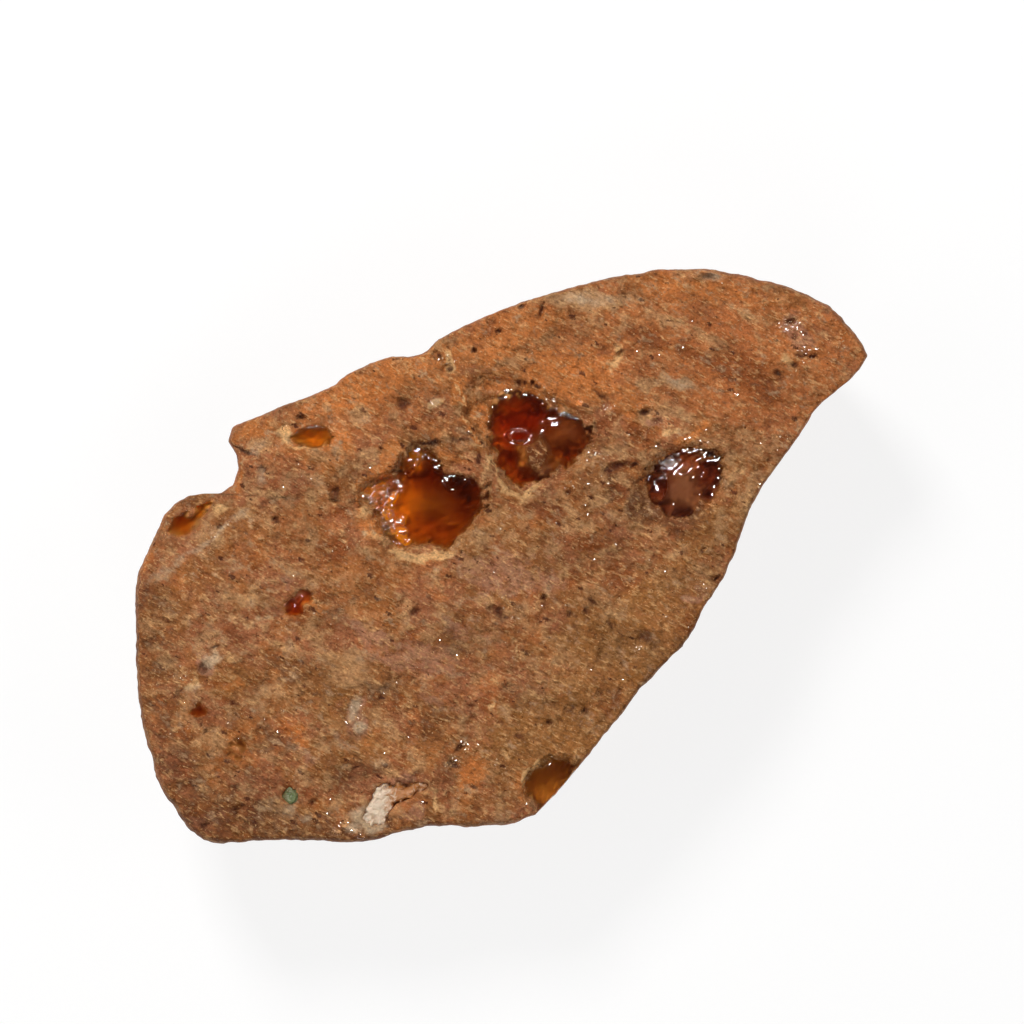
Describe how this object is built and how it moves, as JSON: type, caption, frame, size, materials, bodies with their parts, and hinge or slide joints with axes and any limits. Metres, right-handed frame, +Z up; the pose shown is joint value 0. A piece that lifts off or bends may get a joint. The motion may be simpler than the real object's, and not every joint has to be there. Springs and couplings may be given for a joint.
{
  "type": "opal in matrix specimen",
  "caption": "Ground piece of pinkish-tan rhyolite lying on its sawn back, with glassy amber, red-brown and milky opal nodules in open pockets of its upper face.",
  "frame": {"origin": "on the sawn back, under the middle of the stone's box", "axes": "+X along the stone's length towards its pointed end, +Z up, out of the ground face that shows the opals"},
  "size_m": [0.0458, 0.036, 0.013],
  "materials": {
    "rhyolite": "ground, with a faint wet-looking sheen",
    "amber_opal": "glassy, clear orange",
    "brown_red_opal": "glassy, clear brown-red",
    "plum_opal": "glassy, cloudy plum-brown",
    "honey_opal": "glassy, clear honey yellow",
    "cherry_opal": "glassy, clear cherry red",
    "tea_opal": "glassy, cloudy tea brown",
    "milky_opal": "glassy, milky with orange flashes",
    "sea_green_opal": "glassy, cloudy sea green"
  },
  "bodies": {
    "root": {"rhyolite_matrix": "rhyolite", "amber_opal": "amber_opal", "red_opal": "brown_red_opal", "plum_opal": "plum_opal", "honey_opal": "honey_opal", "red_bead_opal": "cherry_opal", "shoulder_opal": "honey_opal", "corner_opal": "tea_opal", "milky_opal": "milky_opal", "green_opal": "sea_green_opal", "red_chip_opal": "cherry_opal", "brown_bead_opal": "amber_opal"}
  },
  "joints": []
}
